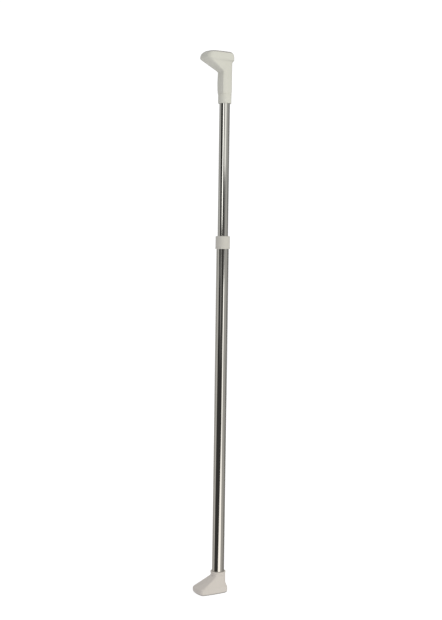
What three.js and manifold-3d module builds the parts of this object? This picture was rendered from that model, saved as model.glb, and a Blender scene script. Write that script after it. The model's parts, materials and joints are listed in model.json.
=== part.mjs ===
// Telescopic door security bar: two steel tubes, a twist lock between them, a boot at the bottom
// and a sprung, swivelling head at the top. Millimetres, +Z up along the bar. The origin is on the
// flat face of the lower pad, under the tubes' axis, and both toes point along -X.
import * as THREE from 'three';
import { mergeVertices } from 'three/addons/utils/BufferGeometryUtils.js';
import Module from 'manifold-3d';

const wasm = await Module();
wasm.setup();

// ---------------------------------------------------------------- driving dimensions
const HEIGHT = 1450; // pad face to pad face, as the bar is drawn here
const GAP = 0.3; // clearance between pieces that touch
const ROUND = 32; // facets round a turned piece

const OUTER_R = 16.5; // outer tube, 33 mm
const INNER_R = 14; // inner tube, 28 mm
const TUBE_WALL = 0.8;
const OUTER_BORE = OUTER_R - TUBE_WALL;
const INNER_BORE = INNER_R - TUBE_WALL;

const OUTER_BOTTOM = 13.3; // rests on the floor of the lower boot's socket
const OUTER_TOP = 961;
const INNER_TOP = HEIGHT - 76;

const SCREW_R = 2.5; // M5 screws in both ends
const SCREW_HOLE = SCREW_R + 0.4;
const SCREW_HEAD_R = 4.8;

const COLLAR = { bottom: 933, top: 967.3, radius: 19.2, bead: 19.7 };

// Boots. Heights are measured from the pad's face. The outline of a boot is four-sided: a toe
// corner and a heel corner on each side of the tube, joined by slightly bulged faces. Towards the
// pad's face the form is rounded in, by its own elliptical edge at the nose, heel and sides, and
// the face cuts that rounding off a little before it would turn flat.
const LOWER_BOOT = {
  toe: 66.8, // reach of the toe's face from the axis
  toeHalf: 27.6, // half width at the toe corners
  toeRound: 10.3, // corner radius of the toe
  tip: 14.2, // height of the toe's upright face
  instep: 42, // height where the instep meets the neck
  heel: 20.5, // reach of the heel
  heelHalf: 28.6,
  heelRound: 16,
  flareFull: 11, // the heel is at full size below this height
  flareStart: 25.8, // and has the neck's size above this one
  neckBack: 20.2, // the neck's round back
  neckToe: 15.1, // the neck's two crisp corners, beside the toe
  neckHalf: 15.1,
  noseEdge: { reach: 6, height: 6.5 },
  heelEdge: { reach: 2.5, height: 6 },
  sideEdge: { reach: 2, height: 4 },
  cut: 0.6,
  swell: 0,
  rim: 55, // top of the boot
};
const UPPER_BOOT = {
  toe: 67,
  toeHalf: 29,
  toeRound: 16.5,
  tip: 19,
  instep: 48.7,
  heel: 18.9,
  heelHalf: 27.6,
  heelRound: 17.4,
  flareFull: 19.2,
  flareStart: 25.8,
  neckBack: 18.5,
  neckToe: 13.8,
  neckHalf: 15.8,
  noseEdge: { reach: 17, height: 18 },
  heelEdge: { reach: 12, height: 13.5 },
  sideEdge: { reach: 2.5, height: 5 },
  cut: 1.2,
  swell: 0.9, // the sleeve is a little fuller half way along
  rim: 107,
};
const NECK_BULGE = 3.6; // bulge of the neck's face between its corners
const NECK_ROUND = 1.8;
const SHELL_WALL = 2.6;
const PAD_EDGE = 2.4; // thickness of the pad's visible edge
const PAD_TOP = 4.5;
const SHELL_FROM = PAD_EDGE + GAP;

// ---------------------------------------------------------------- materials
const material = (colour, roughness, metalness) =>
  new THREE.MeshStandardMaterial({ color: colour, roughness, metalness });
const STAINLESS = material(0xc4c2be, 0.18, 1);
const ZINC = material(0xb4b6b8, 0.35, 1);
const SPRING_STEEL = material(0x7d7f82, 0.4, 1);
const SHELL_PLASTIC = material(0xd3d0c6, 0.45, 0);
const PAD_RUBBER = material(0xbdb9ad, 0.8, 0);
const NYLON = material(0xe6e4dc, 0.5, 0);
const BLACK_RUBBER = material(0x232323, 0.9, 0);

// ---------------------------------------------------------------- solids
// A closed surface as a manifold solid: shared corners merged, slivers dropped, faces turned out.
function solid(geometry) {
  const bare = geometry.clone();
  bare.deleteAttribute('normal');
  bare.deleteAttribute('uv');
  const merged = mergeVertices(bare, 1e-4);
  const points = merged.attributes.position.array;
  const index = merged.index.array;
  const corners = [];
  let volume = 0;
  const [a, b, c] = [new THREE.Vector3(), new THREE.Vector3(), new THREE.Vector3()];
  for (let i = 0; i < index.length; i += 3) {
    const [p, q, r] = [index[i], index[i + 1], index[i + 2]];
    if (p === q || q === r || r === p) continue;
    corners.push(p, q, r);
    a.fromArray(points, p * 3);
    b.fromArray(points, q * 3);
    c.fromArray(points, r * 3);
    volume += a.dot(b.cross(c));
  }
  if (volume < 0) corners.reverse();
  return new wasm.Manifold(
    new wasm.Mesh({
      numProp: 3,
      vertProperties: Float32Array.from(points),
      triVerts: Uint32Array.from(corners),
    }),
  );
}

function mesh(name, manifold, look) {
  const { vertProperties, triVerts } = manifold.getMesh();
  const geometry = new THREE.BufferGeometry();
  geometry.setAttribute('position', new THREE.BufferAttribute(vertProperties, 3));
  geometry.setIndex(new THREE.BufferAttribute(triVerts, 1));
  geometry.computeVertexNormals();
  const result = new THREE.Mesh(geometry, look);
  result.name = name;
  return result;
}

// A turned piece about the Z axis, from [radius, height] pairs. The profile closes on itself.
function turned(profile, facets = ROUND) {
  const points = [...profile, profile[0]].map(([r, z]) => new THREE.Vector2(r, z));
  return solid(new THREE.LatheGeometry(points, facets).rotateX(Math.PI / 2));
}

const rod = (radius, from, to, facets = ROUND) =>
  turned([[0, from], [radius, from], [radius, to], [0, to]], facets);
const ring = (inner, outer, from, to, facets = ROUND) =>
  turned([[inner, from], [outer, from], [outer, to], [inner, to]], facets);

function block(xFrom, xTo, yFrom, yTo, zFrom, zTo) {
  const geometry = new THREE.BoxGeometry(xTo - xFrom, yTo - yFrom, zTo - zFrom);
  geometry.translate((xFrom + xTo) / 2, (yFrom + yTo) / 2, (zFrom + zTo) / 2);
  return solid(geometry);
}

// A pan-head screw with a cross recess, head down, its shank going up from the head.
function panScrew(headFrom, headTo, shankTo) {
  const dome = 1.2;
  const recessHalf = 2.6;
  const recessWidth = 0.55;
  const body = turned([
    [0, headFrom], [SCREW_HEAD_R - dome, headFrom], [SCREW_HEAD_R, headFrom + dome],
    [SCREW_HEAD_R, headTo], [SCREW_R, headTo], [SCREW_R, shankTo - 1],
    [SCREW_R - 0.8, shankTo], [0, shankTo],
  ], 20);
  const depth = headFrom + 1.3;
  const bar = block(-recessHalf, recessHalf, -recessWidth, recessWidth, headFrom - 1, depth);
  const cross = block(-recessWidth, recessWidth, -recessHalf, recessHalf, headFrom - 1, depth);
  return body.subtract(bar).subtract(cross);
}

// ---------------------------------------------------------------- boots
const { lerp, smoothstep } = THREE.MathUtils;

// A ramp from 0 to 1 whose two bends are rounded over the given share of its length.
function softRamp(x, from, to, soft) {
  const t = (x - from) / (to - from);
  const bend = (u) => (u <= -soft ? 0 : u >= soft ? u : (u + soft) ** 2 / (4 * soft));
  return Math.min(1, Math.max(0, bend(t) - bend(t - 1)));
}

// How far the rounded edge round the pad's face has drawn the form in, at a height above the face.
function edgeInset(edge, cut, height) {
  if (height >= edge.height) return 0;
  return edge.reach * (1 - Math.sqrt(1 - ((edge.height - height) / (edge.height + cut)) ** 2));
}

// One outline of a boot at a height above its pad, set in from the outside by a margin, and
// reaching no further than the limits.
function outline(boot, height, inset = 0, limit = { toe: Infinity, heel: Infinity }) {
  const rise = softRamp(height, boot.tip, boot.instep, 0.09);
  const heelRise = smoothstep(height, boot.flareFull, boot.flareStart);
  const along = (height - boot.instep) / (boot.rim - boot.instep);
  const swell = along > 0 && along < 1 ? boot.swell * Math.sin(Math.PI * along) : 0;
  const nose = inset + edgeInset(boot.noseEdge, boot.cut, height);
  const back = inset + edgeInset(boot.heelEdge, boot.cut, height);
  const side = inset + edgeInset(boot.sideEdge, boot.cut, height);
  const toe = Math.min(limit.toe, lerp(boot.toe, boot.neckToe, rise) + swell - nose);
  const toeHalf = lerp(boot.toeHalf, boot.neckHalf, rise) + swell * 0.5 - side;
  const heel = Math.min(limit.heel, lerp(boot.heel, boot.neckBack, heelRise) - back);
  const heelHalf = lerp(boot.heelHalf, boot.neckBack, heelRise) - side;
  const toeRound = Math.max(0.8, lerp(boot.toeRound, NECK_ROUND, rise) - inset);
  const heelRound = lerp(boot.heelRound, boot.neckBack - 0.2, heelRise) - inset;
  const toeBulge = lerp(2, NECK_BULGE, rise);
  const sideBulge = 1.2;
  const corners = [
    { x: -toe, y: -toeHalf, round: toeRound },
    { x: heel, y: -heelHalf, round: heelRound },
    { x: heel, y: heelHalf, round: heelRound },
    { x: -toe, y: toeHalf, round: toeRound },
  ];
  const bulges = [sideBulge, 0, sideBulge, toeBulge];
  return ringOf(corners, bulges);
}

// A closed ring of points round four corners: bulged sides, and a circular arc at each corner.
function ringOf(corners, bulges) {
  const sides = corners.map((start, i) => {
    const end = corners[(i + 1) % corners.length];
    const [dx, dy] = [end.x - start.x, end.y - start.y];
    const length = Math.hypot(dx, dy);
    const from = start.round / length;
    const to = 1 - end.round / length;
    return (t) => {
      const u = lerp(from, to, t);
      const out = 4 * bulges[i] * t * (1 - t);
      return new THREE.Vector2(start.x + dx * u + (dy / length) * out,
        start.y + dy * u - (dx / length) * out);
    };
  });
  const points = [];
  const weight = Math.SQRT1_2;
  corners.forEach((corner, i) => {
    const arrive = sides[(i + 3) % 4](1);
    const leave = sides[i](0);
    const arcSteps = 5;
    for (let k = 0; k < arcSteps; k += 1) {
      const t = k / arcSteps;
      const [p, q, r] = [(1 - t) ** 2, 2 * weight * t * (1 - t), t ** 2];
      points.push(new THREE.Vector2(
        (arrive.x * p + corner.x * q + leave.x * r) / (p + q + r),
        (arrive.y * p + corner.y * q + leave.y * r) / (p + q + r)));
    }
    const sideSteps = 6;
    for (let k = 0; k < sideSteps; k += 1) points.push(sides[i](k / sideSteps));
  });
  return points;
}

// A solid through outlines at rising heights.
function loft(levels) {
  const count = levels[0].points.length;
  const positions = [];
  for (const { height, points } of levels) {
    for (const point of points) positions.push(point.x, point.y, height);
  }
  const bottom = positions.length / 3;
  const middle = (points) => points.reduce((sum, p) => sum + p.x, 0) / count;
  positions.push(middle(levels[0].points), 0, levels[0].height);
  const top = bottom + 1;
  const last = levels.at(-1);
  positions.push(middle(last.points), 0, last.height);
  const index = [];
  for (let i = 0; i < count; i += 1) {
    const j = (i + 1) % count;
    for (let level = 0; level < levels.length - 1; level += 1) {
      const [low, high] = [level * count, (level + 1) * count];
      index.push(low + i, low + j, high + j, low + i, high + j, high + i);
    }
    index.push(bottom, j, i);
    index.push(top, (levels.length - 1) * count + i, (levels.length - 1) * count + j);
  }
  const geometry = new THREE.BufferGeometry();
  geometry.setAttribute('position', new THREE.Float32BufferAttribute(positions, 3));
  geometry.setIndex(index);
  return solid(geometry);
}

// The whole outer form of a boot, pad and shell together, its levels closest at the pad's edge.
function bootForm(boot) {
  const heights = [boot.flareFull, boot.tip - 1, boot.tip + 2.5, boot.flareStart - 5,
    boot.flareStart, lerp(boot.flareStart, boot.instep, 0.5), boot.instep - 2, boot.instep + 2];
  const edgeSteps = 8;
  for (let k = 1; k <= edgeSteps; k += 1) {
    heights.push(boot.noseEdge.height * (k / edgeSteps) ** 2, boot.sideEdge.height, boot.heelEdge.height);
  }
  if (boot.swell > 0) {
    for (const share of [0.3, 0.5, 0.7]) heights.push(lerp(boot.instep, boot.rim, share));
  }
  heights.push(boot.rim);
  const levels = [{ height: 0, points: outline(boot, 0) }];
  for (const height of heights.sort((a, b) => a - b)) {
    if (height - levels.at(-1).height < 0.25) continue;
    levels.push({ height, points: outline(boot, height) });
  }
  return loft(levels);
}

// The rubber pad: a visible edge with the boot's own outline, and a spigot that fills the shell.
function bootPad(boot) {
  const band = bootForm(boot).intersect(block(-100, 100, -100, 100, 0, PAD_EDGE));
  const inset = SHELL_WALL + GAP;
  const spigot = loft([PAD_EDGE - 0.5, PAD_TOP].map((height) =>
    ({ height, points: outline(boot, SHELL_FROM, inset) })));
  let pad = band.add(spigot);
  const grooveDepth = 1.2;
  const grooveHalf = 1.1;
  const pitch = 8;
  const land = 12; // flat land left under the tube
  const faceToe = boot.toe - edgeInset(boot.noseEdge, boot.cut, 0);
  const faceHeel = boot.heel - edgeInset(boot.heelEdge, boot.cut, 0);
  for (let x = -faceToe + pitch; x < faceHeel - pitch / 2; x += pitch) {
    if (Math.abs(x) < land) continue;
    pad = pad.subtract(block(x - grooveHalf, x + grooveHalf, -40, 40, -1, grooveDepth));
  }
  return pad;
}

// The hollow shell, open under the pad, with a round socket in its neck whose floor is given.
function bootShell(boot, socketFloor, socketWallBottom, bore) {
  const form = bootForm(boot).intersect(block(-100, 100, -100, 100, SHELL_FROM, boot.rim));
  const lift = 3; // thickness of the instep, measured upwards
  const noseInset = edgeInset(boot.noseEdge, boot.cut, SHELL_FROM);
  const heelInset = edgeInset(boot.heelEdge, boot.cut, SHELL_FROM);
  const mouth = {
    toe: boot.toe - noseInset - SHELL_WALL,
    heel: boot.heel - heelInset - SHELL_WALL,
  };
  const clear = lerp(boot.tip, boot.instep, noseInset / (boot.toe - boot.neckToe));
  const heights = [SHELL_FROM - lift, PAD_TOP + 0.5, boot.tip - lift, clear - lift, boot.tip,
    boot.flareStart - lift, boot.instep - lift - 2].sort((a, b) => a - b);
  const cavity = loft(heights.map((height) =>
    ({ height, points: outline(boot, height + lift, SHELL_WALL, mouth) })));
  let inside = cavity.subtract(rod(boot.neckBack - 1.2, socketWallBottom, boot.rim + 1));
  const ribHalf = 1.2;
  for (const y of [-12, 0, 12]) {
    inside = inside.subtract(block(-90, -10, y - ribHalf, y + ribHalf, PAD_TOP + 0.5, 80));
  }
  return form.subtract(inside)
    .subtract(rod(bore, socketFloor, boot.rim + 1))
    .subtract(rod(SCREW_HOLE, -1, socketFloor + 1, 20));
}

// ---------------------------------------------------------------- lower end
const LOWER_FLOOR = { from: 9.5, to: 13 };
const LOWER_PLUG_TOP = 31.7;

function lowerFootShell() {
  const beadHeight = 4;
  const beadRadius = LOWER_BOOT.neckBack + 0.5;
  const bead = turned([
    [OUTER_R, LOWER_BOOT.rim - beadHeight - 3], [LOWER_BOOT.neckBack - 0.6, LOWER_BOOT.rim - beadHeight - 3],
    [beadRadius, LOWER_BOOT.rim - beadHeight + 0.5], [beadRadius, LOWER_BOOT.rim - 0.8],
    [beadRadius - 0.8, LOWER_BOOT.rim], [OUTER_R, LOWER_BOOT.rim],
  ]);
  const neckTop = block(-100, 100, -100, 100, LOWER_BOOT.rim - beadHeight, LOWER_BOOT.rim + 1);
  const shell = bootShell(LOWER_BOOT, LOWER_FLOOR.to, LOWER_FLOOR.from, OUTER_R + GAP);
  return shell.subtract(neckTop).add(bead).subtract(rod(OUTER_R + GAP, LOWER_FLOOR.to, LOWER_BOOT.rim + 1));
}

const lowerTubePlug = () => ring(SCREW_HOLE, OUTER_BORE - GAP, OUTER_BOTTOM, LOWER_PLUG_TOP);
const lowerFootScrew = () => panScrew(PAD_TOP + 0.4, 7.7, LOWER_PLUG_TOP - 3);
const lowerFootWasher = () => ring(SCREW_HOLE, 6, 8, 9.2, 24);
const outerTube = () => ring(OUTER_BORE, OUTER_R, OUTER_BOTTOM, OUTER_TOP);

// ---------------------------------------------------------------- telescoping joint
const BUSH_FLANGE = { from: OUTER_TOP + GAP, to: OUTER_TOP + 2.3 };
const BUSH_BOTTOM = 951.5;

function tubeCollar() {
  const { bottom, top, radius, bead } = COLLAR;
  const lip = BUSH_FLANGE.to + GAP;
  return turned([
    [OUTER_R + GAP, bottom], [bead - 0.5, bottom], [bead, bottom + 0.6], [bead, bottom + 2.8],
    [radius, bottom + 3.4], [radius, top - 2.2], [radius - 0.7, top - 0.7], [radius - 2.2, top],
    [INNER_R + 0.5, top], [INNER_R + 0.5, lip], [OUTER_R + GAP, lip],
  ]);
}

function collarBush() {
  const bore = INNER_R + GAP;
  return turned([
    [bore, BUSH_BOTTOM], [OUTER_BORE - 0.25, BUSH_BOTTOM], [OUTER_BORE - 0.25, BUSH_FLANGE.from],
    [OUTER_R, BUSH_FLANGE.from], [OUTER_R, BUSH_FLANGE.to], [bore, BUSH_FLANGE.to],
  ]);
}

// ---------------------------------------------------------------- twist lock
const SPINDLE_R = 3;
const LOCK_BOTTOM = 359.8; // lowest point of the lock, the spindle's end
const SPINDLE = { from: LOCK_BOTTOM, to: LOCK_BOTTOM + 64.2 };
const PIN_HEIGHT = SPINDLE.to - 10;
const PIN_R = 1.5;
const CONE = { from: LOCK_BOTTOM + 7.7, to: LOCK_BOTTOM + 23.2, wide: 12.6, slim: 9.6 };
const CONE_SLOPE = (CONE.wide - CONE.slim) / (CONE.to - CONE.from);
const EXPANDER = {
  from: LOCK_BOTTOM + 11.2,
  to: LOCK_BOTTOM + 38.2,
  slotTop: LOCK_BOTTOM + 32.2,
  radius: OUTER_BORE - GAP,
  topBore: 5,
};
const INNER_BOTTOM = LOCK_BOTTOM + 41.5; // the inner tube ends just above the expander
const SLOT_HALF = 1.2;
const RING_HEIGHT = LOCK_BOTTOM + 28.2;

// Slots or wings on two crossed planes through the axis.
function crossed(half, reach, from, to) {
  return block(-reach, reach, -half, half, from, to).add(block(-half, half, -reach, reach, from, to));
}

function lockExpander() {
  const taper = (height) => CONE.wide - (height - CONE.from) * CONE_SLOPE + 0.4;
  const taperTop = CONE.to + 2;
  const { from, to, radius, topBore, slotTop } = EXPANDER;
  const groove = { half: 1.6, radius: 13.2 };
  const body = turned([
    [taper(from), from], [radius - 0.6, from], [radius, from + 1],
    [radius, RING_HEIGHT - groove.half], [groove.radius, RING_HEIGHT - groove.half],
    [groove.radius, RING_HEIGHT + groove.half], [radius, RING_HEIGHT + groove.half],
    [radius, to - 1], [radius - 0.6, to], [topBore, to], [topBore, taperTop], [taper(taperTop), taperTop],
  ]);
  return body.subtract(crossed(SLOT_HALF, 20, from - 1, slotTop));
}

function expanderRing() {
  const section = 0.75;
  const centre = OUTER_BORE - 0.95;
  const profile = Array.from({ length: 8 }, (_, i) => {
    const angle = (i / 8) * Math.PI * 2;
    return [centre + section * Math.cos(angle), RING_HEIGHT + section * Math.sin(angle)];
  });
  return turned(profile);
}

function lockCone() {
  const bore = SPINDLE_R + GAP;
  const body = turned([
    [bore, CONE.from], [CONE.wide, CONE.from], [CONE.slim, CONE.to], [bore, CONE.to],
  ]);
  const wings = crossed(SLOT_HALF - GAP, 13.6, EXPANDER.from + 0.5, CONE.to)
    .subtract(rod(CONE.slim - 1, CONE.from - 1, CONE.to + 1));
  return body.add(wings);
}

// The spindle's coarse thread is drawn as plain rings at its pitch.
function lockSpindle() {
  const pitch = 4;
  const depth = 0.5;
  const threadTop = SPINDLE.from + 32;
  const profile = [[0, SPINDLE.from], [SPINDLE_R - depth, SPINDLE.from]];
  for (let z = SPINDLE.from; z < threadTop; z += pitch) {
    profile.push([SPINDLE_R - depth, z + 0.8], [SPINDLE_R, z + 1.4],
      [SPINDLE_R, z + 3.4], [SPINDLE_R - depth, z + 4]);
  }
  profile.push([SPINDLE_R, threadTop + 1.6], [SPINDLE_R, SPINDLE.to], [0, SPINDLE.to]);
  return turned(profile, 12).subtract(pinHole());
}

function spindleEndNut() {
  const [from, to] = [SPINDLE.from + 0.4, SPINDLE.from + 4.6];
  return rod(5.6, from, to, 6).subtract(rod(SPINDLE_R + GAP, from - 1, to + 1));
}

const alongY = (manifold, height) => manifold.rotate([90, 0, 0]).translate([0, 0, height]);
const pinHole = () => alongY(rod(PIN_R + GAP, -30, 30, 16), PIN_HEIGHT);
const spindlePin = () => alongY(rod(PIN_R, -INNER_R + 0.1, INNER_R - 0.1, 16), PIN_HEIGHT);

function spindlePlug() {
  const flange = { from: EXPANDER.to + 1, to: INNER_BOTTOM - GAP, radius: INNER_R - 0.2 };
  const bore = SPINDLE_R + GAP;
  const fit = INNER_BORE - GAP;
  const top = SPINDLE.to + 2;
  return turned([
    [bore, flange.from], [flange.radius, flange.from], [flange.radius, flange.to],
    [fit, flange.to], [fit, top], [bore, top],
  ]).subtract(pinHole());
}

const innerTube = () => ring(INNER_BORE, INNER_R, INNER_BOTTOM, INNER_TOP).subtract(pinHole());

// ---------------------------------------------------------------- sprung, swivelling head
const PLUNGER_R = 4;
const SEAT = { bottom: INNER_TOP - 28.6, flangeTop: INNER_TOP + 3 };
const CEILING = { from: HEIGHT - 22.7, to: HEIGHT - 18.7 };
const CUFF = { top: HEIGHT - UPPER_BOOT.rim, length: 24.8, spigot: 9.7, radius: 17.8 };
const CUFF_SPIGOT_R = 16.1;
const SPRING = { wire: 1.3, coil: 10.2, turns: 7, bottom: SEAT.flangeTop + GAP, top: CEILING.from - 2.4 };

// Heads are modelled pad down, like the boot, and then turned over.
const turnOver = (manifold) => manifold.rotate([180, 0, 0]).translate([0, 0, HEIGHT]);

function headShell() {
  const shell = bootShell(UPPER_BOOT, HEIGHT - CEILING.from, HEIGHT - CEILING.to, INNER_R + 0.5);
  const counterbore = rod(CUFF_SPIGOT_R + GAP, UPPER_BOOT.rim - CUFF.spigot - GAP, UPPER_BOOT.rim + 1);
  return turnOver(shell.subtract(counterbore));
}

function sleeveCuff() {
  const bore = INNER_R + GAP;
  const seam = CUFF.top - GAP;
  const bottom = CUFF.top - CUFF.length;
  const spigotTop = CUFF.top + CUFF.spigot;
  return turned([
    [bore, bottom], [CUFF.radius - 1.2, bottom], [CUFF.radius, bottom + 1.2], [CUFF.radius, seam],
    [CUFF_SPIGOT_R, seam], [CUFF_SPIGOT_R, spigotTop], [bore, spigotTop],
  ]);
}

function springSeatPlug() {
  const bore = PLUNGER_R + 0.4;
  const fit = INNER_BORE - GAP;
  const flange = INNER_TOP + GAP;
  return turned([
    [bore, SEAT.bottom], [fit, SEAT.bottom], [fit, flange], [INNER_R - 0.2, flange],
    [INNER_R - 0.2, SEAT.flangeTop], [bore, SEAT.flangeTop],
  ]);
}

class Helix extends THREE.Curve {
  getPoint(t, target = new THREE.Vector3()) {
    const angle = t * SPRING.turns * Math.PI * 2;
    const from = SPRING.bottom + SPRING.wire;
    const to = SPRING.top - SPRING.wire;
    return target.set(SPRING.coil * Math.cos(angle), SPRING.coil * Math.sin(angle), lerp(from, to, t));
  }
}

function headSpring() {
  const section = new THREE.Shape();
  const sides = 6;
  for (let i = 0; i < sides; i += 1) {
    const angle = (i / sides) * Math.PI * 2;
    const [x, y] = [SPRING.wire * Math.cos(angle), SPRING.wire * Math.sin(angle)];
    if (i === 0) section.moveTo(x, y);
    else section.lineTo(x, y);
  }
  const settings = { extrudePath: new Helix(), steps: SPRING.turns * 14, bevelEnabled: false };
  return solid(new THREE.ExtrudeGeometry(section, settings));
}

const springWasher = () => ring(PLUNGER_R + 0.4, 13.6, SPRING.top + GAP, CEILING.from - GAP, 24);

function headPlunger() {
  const flange = { from: SEAT.bottom - 4.2, to: SEAT.bottom - GAP, radius: 9 };
  const top = CEILING.from - GAP;
  const drillFrom = top - 18;
  return turned([
    [0, flange.from], [flange.radius, flange.from], [flange.radius, flange.to], [PLUNGER_R, flange.to],
    [PLUNGER_R, top], [SCREW_HOLE, top], [SCREW_HOLE, drillFrom], [0, drillFrom],
  ]);
}

const headScrewLevel = (height) => HEIGHT - height;
const plungerWasher = () =>
  ring(SCREW_HOLE, 6, CEILING.to + GAP, CEILING.to + 1.5, 24);
const plungerScrew = () =>
  turnOver(panScrew(headScrewLevel(CEILING.to + 4.6), headScrewLevel(CEILING.to + 1.8),
    headScrewLevel(CEILING.from - 16)));

// ---------------------------------------------------------------- assembly
const bar = new THREE.Group();
bar.add(
  mesh('outer_tube', outerTube(), STAINLESS),
  mesh('tube_collar', tubeCollar(), SHELL_PLASTIC),
  mesh('collar_bush', collarBush(), NYLON),
  mesh('lower_foot_shell', lowerFootShell(), SHELL_PLASTIC),
  mesh('lower_foot_pad', bootPad(LOWER_BOOT), PAD_RUBBER),
  mesh('lower_tube_plug', lowerTubePlug(), NYLON),
  mesh('lower_foot_screw', lowerFootScrew(), ZINC),
  mesh('lower_foot_washer', lowerFootWasher(), ZINC),
  mesh('lock_expander', lockExpander(), NYLON),
  mesh('expander_ring', expanderRing(), BLACK_RUBBER),
  mesh('lock_cone', lockCone(), NYLON),
  mesh('inner_tube', innerTube(), STAINLESS),
  mesh('lock_spindle', lockSpindle(), ZINC),
  mesh('spindle_plug', spindlePlug(), NYLON),
  mesh('spindle_pin', spindlePin(), ZINC),
  mesh('spindle_end_nut', spindleEndNut(), ZINC),
  mesh('spring_seat_plug', springSeatPlug(), NYLON),
  mesh('head_spring', headSpring(), SPRING_STEEL),
  mesh('spring_washer', springWasher(), ZINC),
  mesh('head_plunger', headPlunger(), ZINC),
  mesh('plunger_screw', plungerScrew(), ZINC),
  mesh('plunger_washer', plungerWasher(), ZINC),
  mesh('head_shell', headShell(), SHELL_PLASTIC),
  mesh('head_pad', turnOver(bootPad(UPPER_BOOT)), PAD_RUBBER),
  mesh('sleeve_cuff', sleeveCuff(), SHELL_PLASTIC),
);

export default bar;
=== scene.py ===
"""Telescopic door security bar: the visible surfaces, their materials and a pale studio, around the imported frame.

Units are metres, in the frame's own axes: +Z up along the tubes, toes along -X. The boots' shape values are in
millimetres, as on their drawing, and MM turns them into metres.
"""

import json
import math

import bmesh
import bpy
import numpy as np
from mathutils import Matrix, Vector


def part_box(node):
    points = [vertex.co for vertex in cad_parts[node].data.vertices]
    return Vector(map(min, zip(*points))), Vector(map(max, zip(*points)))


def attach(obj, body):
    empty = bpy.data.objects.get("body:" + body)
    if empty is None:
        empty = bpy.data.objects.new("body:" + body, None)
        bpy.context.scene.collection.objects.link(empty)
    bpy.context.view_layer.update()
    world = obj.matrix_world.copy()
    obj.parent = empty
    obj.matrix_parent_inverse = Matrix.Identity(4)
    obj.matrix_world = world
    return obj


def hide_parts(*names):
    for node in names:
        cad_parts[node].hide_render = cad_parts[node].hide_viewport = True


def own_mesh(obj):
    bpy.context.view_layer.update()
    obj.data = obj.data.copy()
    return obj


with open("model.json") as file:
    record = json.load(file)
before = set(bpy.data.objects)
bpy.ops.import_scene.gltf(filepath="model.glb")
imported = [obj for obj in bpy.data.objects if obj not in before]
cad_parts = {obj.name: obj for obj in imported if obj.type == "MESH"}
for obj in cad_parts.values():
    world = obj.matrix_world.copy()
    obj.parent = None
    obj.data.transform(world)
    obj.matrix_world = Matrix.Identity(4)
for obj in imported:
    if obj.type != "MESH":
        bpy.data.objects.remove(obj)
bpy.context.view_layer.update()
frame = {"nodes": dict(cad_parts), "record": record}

MM = 0.001
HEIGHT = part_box("head_pad")[1].z
AROUND = 128  # facets round a turned piece
SHARP_ANGLE = math.radians(32)  # edges that bend more than this are shaded as corners


# ---------------------------------------------------------------- camera
CAMERA_TURN = math.radians(29.6)  # how far the toes point towards the camera, from square on
CAMERA_ROLL = math.radians(0.824)
CAMERA_DISTANCE = 2.819
CAMERA_HEIGHT = 0.9535
CAMERA_ASIDE = -0.0019
AIM_HEIGHT = 0.7689
SENSOR = 36.0  # millimetres, like the lens
LENS = 60.96774


def make_camera():
    data = bpy.data.cameras.new("camera")
    data.sensor_width = SENSOR
    data.lens = LENS
    data.clip_start = 0.05
    data.clip_end = 60.0
    camera = bpy.data.objects.new("camera", data)
    bpy.context.scene.collection.objects.link(camera)
    pitch = math.atan2(CAMERA_HEIGHT - AIM_HEIGHT, CAMERA_DISTANCE)
    turned_back = Matrix.Rotation(-CAMERA_TURN, 3, "Z")
    place = turned_back @ Vector((CAMERA_ASIDE, -CAMERA_DISTANCE, CAMERA_HEIGHT))
    look = turned_back @ Matrix.Rotation(math.pi / 2 - pitch, 3, "X") @ Matrix.Rotation(CAMERA_ROLL, 3, "Z")
    camera.matrix_world = Matrix.Translation(place) @ look.to_4x4()
    bpy.context.scene.camera = camera


# ---------------------------------------------------------------- meshes
def new_object(name, vertices, faces):
    """A smoothly shaded object from corners in metres, with its faces pointing out."""
    mesh = bpy.data.meshes.new(name)
    mesh.from_pydata([tuple(v) for v in vertices], [], [tuple(f) for f in faces])
    mesh.validate()
    work = bmesh.new()
    work.from_mesh(mesh)
    bmesh.ops.remove_doubles(work, verts=work.verts, dist=1e-7)
    bmesh.ops.recalc_face_normals(work, faces=work.faces)
    work.to_mesh(mesh)
    work.free()
    obj = bpy.data.objects.new(name, mesh)
    bpy.context.scene.collection.objects.link(obj)
    smooth(obj)
    return obj


def smooth(obj):
    obj.data.polygons.foreach_set("use_smooth", [True] * len(obj.data.polygons))
    obj.data.set_sharp_from_angle(angle=SHARP_ANGLE)


def arc(centre, radius, start, end, steps):
    """Points of a fillet in a profile, from one angle in degrees to another."""
    angles = np.radians(np.linspace(start, end, steps + 1))
    return [(centre[0] + radius * math.cos(a), centre[1] + radius * math.sin(a)) for a in angles]


def turned(name, profile, around=AROUND):
    """A turned piece about the Z axis, from a closed profile of (radius, height) points in millimetres."""
    profile = [(r * MM, z * MM) for r, z in profile]
    count = len(profile)
    vertices = []
    for step in range(around):
        angle = 2 * math.pi * step / around
        vertices += [(r * math.cos(angle), r * math.sin(angle), z) for r, z in profile]
    faces = []
    for step in range(around):
        here, there = step * count, (step + 1) % around * count
        for i in range(count):
            j = (i + 1) % count
            faces.append((here + i, there + i, there + j, here + j))
    return new_object(name, vertices, faces)


def loft(name, rings):
    """A closed body through rings of (x, y, z) points in millimetres, with a flat cap at each end."""
    count = len(rings[0])
    vertices = [Vector(p) * MM for ring in rings for p in ring]
    faces = []
    for level in range(len(rings) - 1):
        low, high = level * count, (level + 1) * count
        for i in range(count):
            j = (i + 1) % count
            faces.append((low + i, low + j, high + j, high + i))
    faces.append(tuple(reversed(range(count))))
    top = (len(rings) - 1) * count
    faces.append(tuple(top + i for i in range(count)))
    return new_object(name, vertices, faces)


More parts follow.
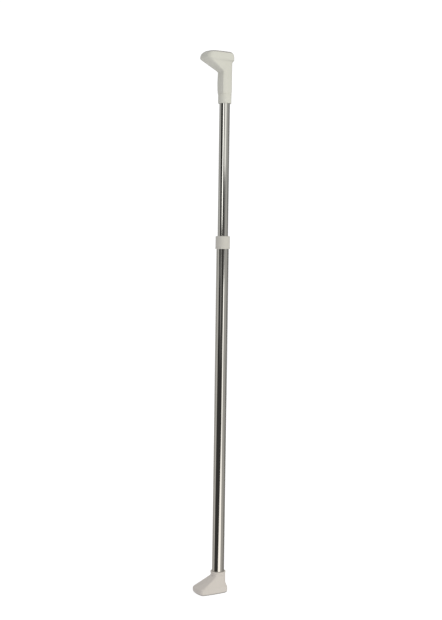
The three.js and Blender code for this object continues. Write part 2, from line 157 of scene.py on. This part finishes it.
def block(name, low, high):
    """A box between two corners in millimetres."""
    corners = [(x, y, z) for z in (low[2], high[2]) for y in (low[1], high[1]) for x in (low[0], high[0])]
    faces = [(0, 2, 3, 1), (4, 5, 7, 6), (0, 1, 5, 4), (2, 6, 7, 3), (0, 4, 6, 2), (1, 3, 7, 5)]
    return new_object(name, [Vector(c) * MM for c in corners], faces)


def rod(name, radius, low, high, around=64):
    return turned(name, [(0, low), (radius, low), (radius, high), (0, high)], around)


def triangulated(obj):
    """Flat triangles, so that what is cut with it comes out clean."""
    work = bmesh.new()
    work.from_mesh(obj.data)
    bmesh.ops.triangulate(work, faces=work.faces)
    work.to_mesh(obj.data)
    work.free()
    return obj


def cut(obj, tool):
    """Cuts the tool from the object, and does away with the tool."""
    modifier = obj.modifiers.new("cut", "BOOLEAN")
    modifier.operation = "DIFFERENCE"
    modifier.solver = "EXACT"
    modifier.object = tool
    graph = bpy.context.evaluated_depsgraph_get()
    result = bpy.data.meshes.new_from_object(obj.evaluated_get(graph))
    obj.modifiers.clear()
    obj.data = result
    bpy.data.objects.remove(tool)
    smooth(obj)
    return obj


def cleaned(obj):
    """Merges what cutting left almost touching, and splits its many-sided faces."""
    work = bmesh.new()
    work.from_mesh(obj.data)
    bmesh.ops.remove_doubles(work, verts=work.verts, dist=0.01 * MM)
    bmesh.ops.triangulate(work, faces=[face for face in work.faces if len(face.verts) > 4])
    work.to_mesh(obj.data)
    work.free()
    smooth(obj)
    return obj


# ---------------------------------------------------------------- boots
# Both boots in millimetres, heights counted up from the pad's face. The toe and the heel are how far the foot
# reaches from the tube's axis, each with half its width and the radius of its corners. From the tip up to the
# instep the toe runs back to the neck, and between the two flare heights the heel runs in to it. The neck swells
# a little on its way up to the rim. Each edge is (how far it is drawn in at the face, how high its rounding
# goes), less the cut that leaves the face flat.
LOWER_BOOT = dict(
    toe=66.8, toe_half=27.6, toe_round=10.3, tip=14.2, instep=42, heel=20.5, heel_half=28.6, heel_round=16,
    flare_full=11, flare_start=25.8, neck_back=20.2, neck_toe=15.1, neck_half=15.1,
    nose_edge=(6, 6.5), heel_edge=(2.5, 6), side_edge=(2, 4), cut=0.6, swell=0, rim=55,
)
UPPER_BOOT = dict(
    toe=67, toe_half=29, toe_round=16.5, tip=19, instep=48.7, heel=18.9, heel_half=27.6, heel_round=17.4,
    flare_full=19.2, flare_start=25.8, neck_back=18.5, neck_toe=13.8, neck_half=15.8,
    nose_edge=(17, 18), heel_edge=(12, 13.5), side_edge=(2.5, 5), cut=1.2, swell=0.9, rim=107,
)
NECK_BULGE = 3.6  # the bulges are in the middle of a side
NECK_ROUND = 1.8
TOE_BULGE = 2.0
SIDE_BULGE = 1.2
SHELL_WALL = 2.6
GAP = 0.3  # play between pieces that sit in each other
PAD_EDGE = 2.4  # top of the pad's rim
PAD_TOP = 4.5  # top of its spigot, inside the shell
SHELL_FROM = PAD_EDGE + GAP
TUBE_WALL = 0.8
TUBE_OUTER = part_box("outer_tube")[1].x / MM
TUBE_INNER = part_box("inner_tube")[1].x / MM


def lerp(a, b, t):
    return a + (b - a) * t


def smoothstep(x, low, high):
    """From 0 to 1 between low and high, level at both ends."""
    t = min(1.0, max(0.0, (x - low) / (high - low)))
    return t * t * (3 - 2 * t)


def soft_ramp(x, low, high, soft=0.09):
    """A ramp from 0 to 1 whose two bends are rounded over the given share of its length."""
    def bend(u):
        return 0.0 if u <= -soft else u if u >= soft else (u + soft) ** 2 / (4 * soft)
    t = (x - low) / (high - low)
    return min(1.0, max(0.0, bend(t) - bend(t - 1)))


def ring_of(corners, bulges, height):
    """A closed ring round four corners (x, y, corner radius): bulged sides and circular corner arcs."""
    arc_steps, side_steps = 16, 14

    def side(i):
        (ax, ay, start), (bx, by, end) = corners[i], corners[(i + 1) % 4]
        dx, dy = bx - ax, by - ay
        length = math.hypot(dx, dy)

        def at(t):
            u = lerp(start / length, 1 - end / length, t)
            out = 4 * bulges[i] * t * (1 - t)
            return ax + dx * u + dy / length * out, ay + dy * u - dx / length * out
        return at

    points = []
    for i, (cx, cy, _) in enumerate(corners):
        arrive, leave = side(i - 1 if i else 3)(1), side(i)(0)
        for k in range(arc_steps):
            t = k / arc_steps
            p, q, r = (1 - t) ** 2, 2 * math.sqrt(0.5) * t * (1 - t), t * t
            total = p + q + r
            points.append(((arrive[0] * p + cx * q + leave[0] * r) / total,
                           (arrive[1] * p + cy * q + leave[1] * r) / total, height))
        points += [(*side(i)(k / side_steps), height) for k in range(side_steps)]
    return points


def edge_inset(boot, edge, height):
    """How far the rounded edge round the pad's face has drawn the form in at a height above the face."""
    reach, full = boot[edge]
    if height >= full:
        return 0.0
    return reach * (1 - math.sqrt(1 - ((full - height) / (full + boot["cut"])) ** 2))


def outline(boot, height, inset=0.0, at=None, mouth=None):
    """One outline of a boot at a height above its pad, in from the outside by the inset, drawn at another height,
    and reaching no further than its mouth's (toe, heel)."""
    rise = soft_ramp(height, boot["tip"], boot["instep"])
    heel_rise = smoothstep(height, boot["flare_full"], boot["flare_start"])
    along = (height - boot["instep"]) / (boot["rim"] - boot["instep"])
    swell = boot["swell"] * math.sin(math.pi * along) if 0 < along < 1 else 0.0
    nose, back, side = (inset + edge_inset(boot, edge, height) for edge in ("nose_edge", "heel_edge", "side_edge"))
    toe = lerp(boot["toe"], boot["neck_toe"], rise) + swell - nose
    toe_half = lerp(boot["toe_half"], boot["neck_half"], rise) + swell * 0.5 - side
    heel = lerp(boot["heel"], boot["neck_back"], heel_rise) - back
    heel_half = lerp(boot["heel_half"], boot["neck_back"], heel_rise) - side
    if mouth:
        toe, heel = min(toe, mouth[0]), min(heel, mouth[1])
    toe_round = max(0.8, lerp(boot["toe_round"], NECK_ROUND, rise) - inset)
    heel_round = lerp(boot["heel_round"], boot["neck_back"] - 0.2, heel_rise) - inset
    toe_bulge = lerp(TOE_BULGE, NECK_BULGE, rise)
    corners = [(-toe, -toe_half, toe_round), (heel, -heel_half, heel_round),
               (heel, heel_half, heel_round), (-toe, toe_half, toe_round)]
    return ring_of(corners, [SIDE_BULGE, 0, SIDE_BULGE, toe_bulge], height if at is None else at)


def circle(radius, height, like):
    """A round ring whose points lie at the same angles round the bar as another ring's."""
    return [(radius * x / math.hypot(x, y), radius * y / math.hypot(x, y), height) for x, y, _ in like]


def blended(ring_a, ring_b, share):
    """A ring the given share of the way from one ring to another."""
    return [tuple(lerp(a, b, share) for a, b in zip(p, q)) for p, q in zip(ring_a, ring_b)]


def shell_heights(boot, top):
    """Levels for a boot's outside, closer together where it bends."""
    heights, height = [], SHELL_FROM + 0.35
    while height < top:
        heights.append(height)
        near = min(abs(height - boot["tip"]), abs(height - boot["instep"]))
        height += 0.5 if near < 4 or height < boot["tip"] else 1.0 if height < boot["instep"] + 2 else 3.0
    return heights


def hollow(boot, boss_from):
    """What is cut from under the shell: its cavity, less the boss round the tube and the ribs."""
    lift = 3.0  # how far below the outside its roof lies
    boss_inset, rib_half, rib_from = 1.2, 1.2, PAD_TOP + 0.5
    nose, back = (edge_inset(boot, edge, SHELL_FROM) for edge in ("nose_edge", "heel_edge"))
    mouth = (boot["toe"] - nose - SHELL_WALL, boot["heel"] - back - SHELL_WALL)
    clear = lerp(boot["tip"], boot["instep"], nose / (boot["toe"] - boot["neck_toe"]))
    heights = [SHELL_FROM - lift, rib_from, boot["tip"] - lift, clear - lift, boot["tip"],
               boot["flare_start"] - lift, boot["instep"] - lift - 2]
    cavity = triangulated(loft("cavity", [outline(boot, h + lift, SHELL_WALL, h, mouth) for h in sorted(heights)]))
    cut(cavity, rod("boss", boot["neck_back"] - boss_inset, boss_from, boot["rim"] + 1))
    for y in (-12, 0, 12):
        cut(cavity, block("rib", (-90, y - rib_half, rib_from), (-10, y + rib_half, 80)))
    return cavity


def boot_shell(name, boot, rings, boss_from, floor):
    """The hollow shell from its outside rings, which end down the bore at the socket's floor."""
    screw_hole = 2.9
    lower_edge = outline(boot, SHELL_FROM + 0.1, 0.35, SHELL_FROM)
    shell = loft(name, [lower_edge, *rings])
    cut(shell, hollow(boot, boss_from))
    return cleaned(cut(shell, rod("screw_way", screw_hole, -1, floor + 1, 24)))


def lower_rings(boot, floor):
    """Outside of the lower boot: its neck grows round towards a bead at the rim, then turns down the bore."""
    rim, radius, bore = boot["rim"], boot["neck_back"], TUBE_OUTER + GAP
    bead, bead_from, round_from = radius + 0.5, rim - 4.2, boot["instep"] + 1
    neck = outline(boot, round_from)
    rings = [outline(boot, height) for height in shell_heights(boot, round_from)]
    steps = 12
    for step in range(1, steps + 1):
        height = lerp(round_from, bead_from, step / steps)
        round_neck = circle(radius, height, neck)
        rings.append(blended(outline(boot, height), round_neck, smoothstep(step / steps, 0, 1)))
    profile = [(radius - 0.25, bead_from + 0.35), (radius + 0.1, bead_from + 0.6)]
    profile += arc((bead - 0.8, bead_from + 1.4), 0.8, -60, 0, 4) + arc((bead - 1.2, rim - 1.2), 1.2, 0, 90, 6)
    profile += arc((bore + 0.5, rim - 0.5), 0.5, 90, 180, 4)
    profile += [(bore, lerp(rim, floor, 0.5)), (bore, floor)]
    return rings + [circle(r, z, neck) for r, z in profile]


def upper_rings(boot, floor):
    """Outside of the upper boot, down its sleeve to the cuff, and up the bore past the cuff's spigot."""
    rim, spigot, spigot_depth, bore = boot["rim"], 16.4, 10.0, TUBE_INNER + 0.5
    taper, taper_length, ease, steps = 0.55, 6, 0.25, 5
    rings = [outline(boot, height) for height in shell_heights(boot, rim - taper_length - 1)]
    for step in range(steps + 1):
        height = lerp(rim - taper_length, rim - ease, step / steps)
        rings.append(outline(boot, height, taper * smoothstep(step / steps, 0, 1)))
    rings += [outline(boot, rim, taper + ease - r, z) for r, z in arc((0, rim - ease), ease, 0, 90, 4)[1:]]
    profile = [(spigot, rim), (spigot, rim - spigot_depth), (bore, rim - spigot_depth), (bore, floor)]
    return rings + [circle(r, z, rings[-1]) for r, z in profile]


def boot_pad(name, boot):
    """The rubber pad: an edge that carries on the boot's outline, a spigot inside the shell, and a grooved face."""
    face_ease = 0.5
    rings = [outline(boot, z, face_ease - r) for r, z in arc((0, face_ease), face_ease, -90, 0, 4)]
    rings += [outline(boot, z) for z in np.linspace(face_ease, PAD_EDGE - 0.3, 7)[1:]]
    rings.append(outline(boot, PAD_EDGE, 0.3))
    rings += [outline(boot, SHELL_FROM, SHELL_WALL + GAP, z) for z in (PAD_EDGE, PAD_TOP - 0.4)]
    rings.append(outline(boot, SHELL_FROM, SHELL_WALL + GAP + 0.4, PAD_TOP))
    pad = loft(name, rings)
    pitch, half, depth, land, reach = 8, 1.1, 1.2, 12, 40
    x = pitch - boot["toe"] + edge_inset(boot, "nose_edge", 0)
    while x < boot["heel"] - edge_inset(boot, "heel_edge", 0) - pitch / 2:
        if abs(x) >= land:
            cut(pad, block("groove", (x - half, -reach, -1), (x + half, reach, depth)))
        x += pitch
    return cleaned(pad)


def turn_over(obj):
    """The head is drawn pad down, like the boot, and then turned over on to the top of the bar."""
    obj.data.transform(Matrix.Translation((0, 0, HEIGHT)) @ Matrix.Rotation(math.pi, 4, "X"))
    return obj


def place(obj, body, node, slot, finish=None):
    """Ties a piece to its body, node and slot, with the slot's own material or another finish of it."""
    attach(obj, body)
    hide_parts(node)
    obj.data.materials.clear()
    obj.data.materials.append(MATERIALS[finish or slot])
    return obj


# ---------------------------------------------------------------- materials
def nodes_of(name):
    material = bpy.data.materials.new(name)
    material.use_nodes = True
    tree = material.node_tree
    return material, tree, tree.nodes["Principled BSDF"]


def add(tree, kind, **values):
    """A new node, with the given sockets and settings."""
    node = tree.nodes.new(kind)
    for key, value in values.items():
        if key in node.inputs:
            node.inputs[key].default_value = value
        else:
            setattr(node, key, value)
    return node


def object_noise(tree, scale, stretch=(1, 1, 1), detail=4.0, roughness=0.55):
    """Noise in the object's own coordinates, squeezed along each axis by the stretch."""
    place_at = add(tree, "ShaderNodeTexCoord")
    mapping = add(tree, "ShaderNodeMapping")
    mapping.inputs["Scale"].default_value = stretch
    noise = add(tree, "ShaderNodeTexNoise", Scale=scale, Detail=detail, Roughness=roughness)
    tree.links.new(place_at.outputs["Object"], mapping.inputs["Vector"])
    tree.links.new(mapping.outputs["Vector"], noise.inputs["Vector"])
    return noise.outputs["Fac"]


def ranged(tree, value, low, high, from_low=0.3, from_high=0.7):
    """A value brought from one range, at first that of most noise, to another."""
    node = add(tree, "ShaderNodeMapRange")
    node.inputs["From Min"].default_value = from_low
    node.inputs["From Max"].default_value = from_high
    node.inputs["To Min"].default_value = low
    node.inputs["To Max"].default_value = high
    tree.links.new(value, node.inputs["Value"])
    return node.outputs["Result"]


def mixed(tree, factor, colour_a, colour_b):
    """A mix of two colours, each a tuple or a socket."""
    node = add(tree, "ShaderNodeMix", data_type="RGBA")
    tree.links.new(factor, node.inputs["Factor"])
    for socket, colour in ((node.inputs[6], colour_a), (node.inputs[7], colour_b)):
        if isinstance(colour, tuple):
            socket.default_value = (*colour, 1)
        else:
            tree.links.new(colour, socket)
    return node.outputs[2]


def bumped(tree, shader, heights):
    """A chain of bumps, each (height socket, distance in metres, strength)."""
    normal = None
    for height, distance, strength in heights:
        bump = add(tree, "ShaderNodeBump", Strength=strength, Distance=distance)
        tree.links.new(height, bump.inputs["Height"])
        if normal is not None:
            tree.links.new(normal, bump.inputs["Normal"])
        normal = bump.outputs["Normal"]
    tree.links.new(normal, shader.inputs["Normal"])


def steel(name, colour, roughness, grain, waviness):
    """Bright tube: fine lengthwise drawing lines, faint handling marks, and a surface that is never quite straight."""
    material, tree, shader = nodes_of(name)
    lines = object_noise(tree, 900, (1, 1, 0.012), detail=3)
    marks = object_noise(tree, 60, (1, 1, 0.35), detail=6, roughness=0.65)
    wave = object_noise(tree, 14, (1, 1, 0.25), detail=1)
    shader.inputs["Metallic"].default_value = 1.0
    tint = mixed(tree, ranged(tree, marks, 0, 1), tuple(c * 0.94 for c in colour), colour)
    tree.links.new(tint, shader.inputs["Base Color"])
    tree.links.new(ranged(tree, marks, roughness * 0.8, roughness * 1.35), shader.inputs["Roughness"])
    bumped(tree, shader, [(wave, 0.0004, waviness), (lines, 0.00002, grain)])
    return material


def plastic(name, light, dark, roughness, texture):
    """Moulded plastic: a hardly uneven colour, a fine eggshell surface, and convex edges painted lighter, part
    handling wear and part painted highlight.
    """
    material, tree, shader = nodes_of(name)
    cloud = object_noise(tree, 22, detail=5, roughness=0.6)
    speck = object_noise(tree, 1500, detail=2)
    base = mixed(tree, ranged(tree, cloud, 0, 1), dark, light)
    geometry = add(tree, "ShaderNodeNewGeometry")
    # Convex edges get a lighter colour: partly handling wear, partly a painted highlight along the edges.
    edge_wear_and_sheen = ranged(tree, geometry.outputs["Pointiness"], 0, 0.5, 0.52, 0.60)
    tint = mixed(tree, edge_wear_and_sheen, base, tuple(min(1, c * 1.12) for c in light))
    tree.links.new(tint, shader.inputs["Base Color"])
    tree.links.new(ranged(tree, cloud, roughness * 0.88, roughness * 1.12), shader.inputs["Roughness"])
    shader.inputs["Specular IOR Level"].default_value = 0.45
    bumped(tree, shader, [(cloud, 0.0005, 0.15), (speck, 0.00005, texture)])
    return material


def rubber(name, light, dark, roughness, texture):
    """Matt rubber: a slightly clouded colour and a fine grit."""
    material, tree, shader = nodes_of(name)
    cloud = object_noise(tree, 35, detail=6, roughness=0.7)
    grit = object_noise(tree, 1100, detail=3)
    tint = mixed(tree, ranged(tree, cloud, 0, 1), dark, light)
    tree.links.new(tint, shader.inputs["Base Color"])
    tree.links.new(ranged(tree, grit, roughness * 0.9, min(1, roughness * 1.1)), shader.inputs["Roughness"])
    shader.inputs["Specular IOR Level"].default_value = 0.3
    bumped(tree, shader, [(grit, 0.0001, texture)])
    return material


# A steel's numbers are its roughness, grain and waviness. The others' are two colours, roughness and texture.
MATERIALS = {name: make(name, *look) for name, make, *look in (
    ("stainless_tube", steel, (0.64, 0.63, 0.60), 0.05, 0.15, 0.04),
    ("zinc_steel", steel, (0.58, 0.59, 0.61), 0.28, 0.2, 0.1),
    ("spring_steel", steel, (0.22, 0.22, 0.23), 0.35, 0.2, 0.1),
    ("shell_plastic", plastic, (0.72, 0.715, 0.63), (0.69, 0.685, 0.60), 0.42, 0.25),
    ("collar_plastic", plastic, (0.655, 0.635, 0.57), (0.625, 0.605, 0.54), 0.42, 0.25),
    ("foot_plastic", plastic, (0.74, 0.69, 0.625), (0.71, 0.66, 0.595), 0.42, 0.25),
    ("nylon", plastic, (0.78, 0.77, 0.72), (0.74, 0.73, 0.68), 0.38, 0.2),
    ("pad_rubber", rubber, (0.45, 0.43, 0.40), (0.40, 0.385, 0.355), 0.8, 0.5),
    ("ring_rubber", rubber, (0.02, 0.02, 0.02), (0.012, 0.012, 0.012), 0.6, 0.3),
)}


def finish_cad_nodes():
    """The hidden pieces keep their CAD shapes and take the fine materials."""
    slots = {part["node"]: part["material_slot"] for part in frame["record"]["subparts"]}
    for name, obj in frame["nodes"].items():
        material = MATERIALS[slots[name]]
        obj.data.materials.clear()
        obj.data.materials.append(material)


# ---------------------------------------------------------------- the visible pieces
def tube(name, body, node, outer):
    """A drawn tube with the edges of its cut ends taken off."""
    low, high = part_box(node)
    bottom, top = low.z / MM, high.z / MM
    inner, ease = outer - TUBE_WALL, 0.25
    profile = [(inner, bottom + ease), (inner + ease, bottom), (outer - ease, bottom), (outer, bottom + ease)]
    profile += [(outer, lerp(bottom, top, k / 24)) for k in range(1, 24)]
    profile += [(outer, top - ease), (outer - ease, top), (inner + ease, top), (inner, top - ease)]
    place(turned(name, profile), body, node, "stainless_tube")


def collar():
    """The collar: a bead at its foot, a rounded shoulder, and a lip over the end of the outer tube."""
    low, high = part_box("tube_collar")
    bottom, top = low.z / MM, high.z / MM
    bead, radius, bore, mouth = 19.7, 19.2, TUBE_OUTER + GAP, TUBE_INNER + 0.5
    lip = top - 3.7
    profile = [(bore, bottom + 0.3), (bore + 0.3, bottom)]
    profile += arc((bead - 0.9, bottom + 0.9), 0.9, -90, 0, 6)
    profile += arc((bead - 0.6, bottom + 2.6), 0.6, 0, 70, 4)
    profile += [(radius - 0.05, bottom + 3.7), (radius, bottom + 4.2), (radius, bottom + 18)]
    profile += arc((radius - 2.2, top - 2.2), 2.2, 0, 90, 9)
    profile += arc((mouth + 0.5, top - 0.5), 0.5, 90, 180, 4)
    profile += [(mouth, lip), (bore, lip)]
    place(turned("collar_fine", profile), "outer", "tube_collar", "shell_plastic", "collar_plastic")


def cuff():
    """The sleeve's end ring: its spigot goes up into the sleeve, and a hairline seam is left between the two."""
    low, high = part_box("sleeve_cuff")
    bottom, top = low.z / MM, high.z / MM
    spigot_length, hairline = 9.7, 0.12
    radius, spigot, bore, seam = 17.8, 16.1, TUBE_INNER + GAP, top - spigot_length - hairline
    profile = arc((bore + 0.5, bottom + 0.5), 0.5, 180, 270, 4)
    profile += arc((radius - 1.4, bottom + 1.4), 1.4, -90, 0, 8)
    profile += [(radius, bottom + 12)]
    profile += arc((radius - 0.25, seam - 0.25), 0.25, 0, 90, 4)
    profile += [(spigot, seam), (spigot, top - 0.4), (spigot - 0.4, top), (bore, top)]
    place(turned("cuff_fine", profile), "head", "sleeve_cuff", "shell_plastic")


def spring():
    """The head's spring: its end turns lie closed."""
    low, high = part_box("head_spring")
    wire, coil, turns, steps, stroke = 1.3, 10.2, 7, 48, 25
    bottom, top = low.z / MM + wire, high.z / MM - wire
    closed = 2.08 * wire
    rings = []
    for step in range(turns * steps + 1):
        turn = step / steps
        height = np.interp(turn, [0, 1, turns - 1, turns], [bottom, bottom + closed, top - closed, top])
        angle = 2 * math.pi * turn
        out = Vector((math.cos(angle), math.sin(angle), 0))
        centre = out * coil + Vector((0, 0, height))
        rings.append([centre + wire * (math.cos(a) * out + math.sin(a) * Vector((0, 0, 1)))
                      for a in np.linspace(0, 2 * math.pi, 12, endpoint=False)])
    obj = place(loft("head_spring_fine", rings), "inner", "head_spring", "spring_steel")
    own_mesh(obj)


def make_pieces():
    """The visible pieces in place of the CAD's. A socket's floor and its boss are heights above the boot's pad."""
    tube("outer_tube_fine", "outer", "outer_tube", TUBE_OUTER)
    tube("inner_tube_fine", "inner", "inner_tube", TUBE_INNER)
    collar()
    cuff()
    floor, boss_from = 13.0, 9.5
    lower = boot_shell("lower_foot_fine", LOWER_BOOT, lower_rings(LOWER_BOOT, floor), boss_from, floor)
    place(lower, "outer", "lower_foot_shell", "shell_plastic", "foot_plastic")
    place(boot_pad("lower_pad_fine", LOWER_BOOT), "outer", "lower_foot_pad", "pad_rubber")
    floor, boss_from = 22.7, 18.7
    upper = boot_shell("head_fine", UPPER_BOOT, upper_rings(UPPER_BOOT, floor), boss_from, floor)
    place(turn_over(upper), "head", "head_shell", "shell_plastic")
    place(turn_over(boot_pad("head_pad_fine", UPPER_BOOT)), "head", "head_pad", "pad_rubber")
    spring()


# ---------------------------------------------------------------- studio
def make_floor():
    """A pale sweep: floor, and a wall well behind, joined by a wide curve."""
    reach, back, curve, tall = 9.0, 6.0, 1.5, 8.0
    section = [(-reach, 0.0), (back - curve, 0.0)]
    section += [(back - curve + curve * math.sin(a), curve * (1 - math.cos(a)))
                for a in np.radians(np.linspace(7.5, 90, 12))]
    section += [(back, tall)]
    vertices, faces = [], []
    for across in (-reach, reach):
        vertices += [(across, along, height) for along, height in section]
    count = len(section)
    for i in range(count - 1):
        faces.append((i, count + i, count + i + 1, i + 1))
    sweep = new_object("sweep", vertices, faces)
    sweep.data.transform(Matrix.Rotation(-CAMERA_TURN, 4, "Z"))
    material, tree, shader = nodes_of("sweep")
    shader.inputs["Base Color"].default_value = (0.5, 0.5, 0.5, 1)
    shader.inputs["Roughness"].default_value = 0.9
    shader.inputs["Specular IOR Level"].default_value = 0.0
    shader.inputs["Emission Color"].default_value = (1, 1, 1, 1)
    shader.inputs["Emission Strength"].default_value = 0.75
    sweep.data.materials.append(material)
    sweep.visible_glossy = False
    sweep.visible_diffuse = False


# What bright steel mirrors, by angle round the bar (degrees, 0 towards the camera's side, + to its right) and by
# rise (the upward part of the ray's direction). Each band is
# (brightness, left edge, right edge, left edge's change per rise, right edge's change, lowest rise, highest rise).
MIRROR_WALL = 0.50
MIRROR_BANDS = [
    (0.55, -150, -70, 0, -40, -9, 9),      # a lighter screen well to the left
    (0.10, -110, -98, 0, 0, -9, 9),        # and a slim flag and lamp on either side, for the views from there
    (0.92, -98, -87, 0, 0, -9, 9),
    (0.30, 106, 150, 0, 0, -9, 9),         # a grey flat to the right
    (0.05, 102, 119, 0, 0, -9, 9),
    (0.65, 121, 131, 0, 0, -9, 9),
    (0.020, -66, -38, -130, 0, -0.03, 9),  # the tall black flag
    (0.020, -58, -33, 60, 0, -9, -0.03),
    (0.16, -35, 2, 0, 0, -0.095, 0.03),    # grey shelves at the height of the collar
    (0.30, -26, -10, 0, 0, -0.095, -0.012),
    (0.10, -34, 22, 0, 0, -0.13, -0.085),
    (0.050, -52, 26, 60, 0, -9, -0.115),   # the black table edge, low down
    (0.040, -7, 22, 0, -100, -0.09, 9),    # the narrow gap between two lamps
    (0.40, -12, 10, 0, 0, 0.085, 9),
    (0.19, 20, 44, 0, 0, -0.01, 0.055),
    (3.60, -24, -15, 0, -15, 0.014, 9),    # the upper lamps
    (1.25, 4, 46, 55, 0, 0.066, 9),
    (1.80, 25, 42, 0, 0, -9, -0.035),      # the low lamp
    (1.55, 62, 43, 209, 0, -9, -0.165),
]
# The same for the part behind the bar, at any rise: (brightness, middle, half width, softness of the edges), all but
# the first in degrees.
MIRROR_BACK = [(0.40, 180, 50, 20), (0.04, 166, 15, 6), (0.85, 191, 9, 6), (0.05, 213, 8, 6), (0.9, 232, 9, 8)]
EDGE_SOFT = 7.0
RISE_SOFT = 0.018
RISE_LIMITS = (-0.33, 0.2)


def reflected_studio(tree):
    """The brightness of the studio's walls and lamps as bright metal sees them."""
    place_at = add(tree, "ShaderNodeTexCoord")
    split = add(tree, "ShaderNodeSeparateXYZ")
    tree.links.new(place_at.outputs["Generated"], split.inputs["Vector"])
    turn = -math.pi / 2 - CAMERA_TURN

    def maths(operation, a, b=None):
        node = add(tree, "ShaderNodeMath", operation=operation)
        for socket, value in zip(node.inputs, (a, b)):
            if value is None:
                continue
            if isinstance(value, (int, float)):
                socket.default_value = value
            else:
                tree.links.new(value, socket)
        return node.outputs[0]

    def step_up(value, soft):
        node = add(tree, "ShaderNodeMapRange", interpolation_type="SMOOTHSTEP")
        node.inputs["From Min"].default_value = -soft / 2
        node.inputs["From Max"].default_value = soft / 2
        tree.links.new(value, node.inputs["Value"])
        return node.outputs["Result"]

    x, y, rise = split.outputs
    across = maths("SUBTRACT", maths("MULTIPLY", y, math.cos(turn)), maths("MULTIPLY", x, math.sin(turn)))
    along = maths("ADD", maths("MULTIPLY", x, math.cos(turn)), maths("MULTIPLY", y, math.sin(turn)))
    angle = maths("MULTIPLY", maths("ARCTAN2", across, along), 180 / math.pi)
    level = maths("MINIMUM", maths("MAXIMUM", rise, RISE_LIMITS[0]), RISE_LIMITS[1])
    value = MIRROR_WALL

    def lay_over(value, inside, brightness):
        keep = maths("SUBTRACT", 1.0, inside)
        return maths("ADD", maths("MULTIPLY", keep, value), maths("MULTIPLY", inside, brightness))

    for brightness, middle, half, soft in MIRROR_BACK:
        away = maths("ABSOLUTE", maths("SUBTRACT", maths("FLOORED_MODULO", angle, 360.0), middle))
        value = lay_over(value, step_up(maths("SUBTRACT", half, away), soft), brightness)
    for brightness, left, right, left_drift, right_drift, lowest, highest in MIRROR_BANDS:
        left_edge = maths("ADD", maths("MULTIPLY", level, left_drift), left)
        right_edge = maths("ADD", maths("MULTIPLY", level, right_drift), right)
        inside = maths("MULTIPLY", step_up(maths("SUBTRACT", angle, left_edge), EDGE_SOFT),
                       step_up(maths("SUBTRACT", right_edge, angle), EDGE_SOFT))
        if lowest > -1:  # a rise lies between -1 and 1, so a limit past that is none
            inside = maths("MULTIPLY", inside, step_up(maths("SUBTRACT", level, lowest), RISE_SOFT))
        if highest < 1:
            inside = maths("MULTIPLY", inside, step_up(maths("SUBTRACT", highest, level), RISE_SOFT))
        value = lay_over(value, inside, brightness)
    return value


def make_world():
    """Even light on matt surfaces, the studio's lamps in bright ones, and plain white behind the bar."""
    world = bpy.data.worlds.new("studio")
    bpy.context.scene.world = world
    world.use_nodes = True
    tree = world.node_tree
    for node in list(tree.nodes):
        tree.nodes.remove(node)
    output = add(tree, "ShaderNodeOutputWorld")
    ambient = add(tree, "ShaderNodeBackground")
    direction = add(tree, "ShaderNodeTexCoord")
    upward = add(tree, "ShaderNodeSeparateXYZ")
    tree.links.new(direction.outputs["Generated"], upward.inputs[0])
    tree.links.new(ranged(tree, upward.outputs[2], 0.76, 0.61, -0.9, 0.3), ambient.inputs["Strength"])
    ambient.inputs["Color"].default_value = (1.0, 1.0, 1.04, 1)
    mirrored = add(tree, "ShaderNodeBackground")
    warmth = mixed(tree, ranged(tree, upward.outputs[2], 0, 1, -0.3, 0.05), (1.0, 0.955, 0.90), (0.99, 0.99, 0.955))
    tree.links.new(warmth, mirrored.inputs["Color"])
    tree.links.new(reflected_studio(tree), mirrored.inputs["Strength"])
    backdrop = add(tree, "ShaderNodeBackground", Strength=1.0)
    backdrop.inputs["Color"].default_value = (1, 1, 1, 1)
    path = add(tree, "ShaderNodeLightPath")
    light = ambient.outputs[0]
    for ray, seen in (("Is Glossy Ray", mirrored), ("Is Camera Ray", backdrop)):
        choose = add(tree, "ShaderNodeMixShader")
        tree.links.new(path.outputs[ray], choose.inputs[0])
        tree.links.new(light, choose.inputs[1])
        tree.links.new(seen.outputs[0], choose.inputs[2])
        light = choose.outputs[0]
    tree.links.new(light, output.inputs["Surface"])


def area_light(name, angle, height, aim, size, power):
    """A soft lamp that looks at a height on the bar, from an angle round it in degrees, 0 at the camera's side."""
    distance = 3.0
    data = bpy.data.lights.new(name, "AREA")
    data.shape = "RECTANGLE"
    data.size, data.size_y = size
    data.energy = power
    data.color = (1.0, 0.99, 0.90)
    lamp = bpy.data.objects.new(name, data)
    bpy.context.scene.collection.objects.link(lamp)
    camera = bpy.context.scene.camera.matrix_world.translation
    turn = math.atan2(camera.y, camera.x) + math.radians(angle)
    lamp.location = (distance * math.cos(turn), distance * math.sin(turn), height)
    lamp.rotation_euler = (Vector((0, 0, aim)) - lamp.location).to_track_quat("-Z", "Y").to_euler()
    lamp.visible_glossy = False
    lamp.visible_camera = False


make_camera()
finish_cad_nodes()
make_pieces()
make_floor()
make_world()
area_light("key", angle=42, height=1.25, aim=0.7, size=(1.2, 2.4), power=31)
area_light("back", angle=168, height=1.9, aim=0.8, size=(1.0, 2.0), power=13)
bpy.context.scene.view_settings.view_transform = "Standard"
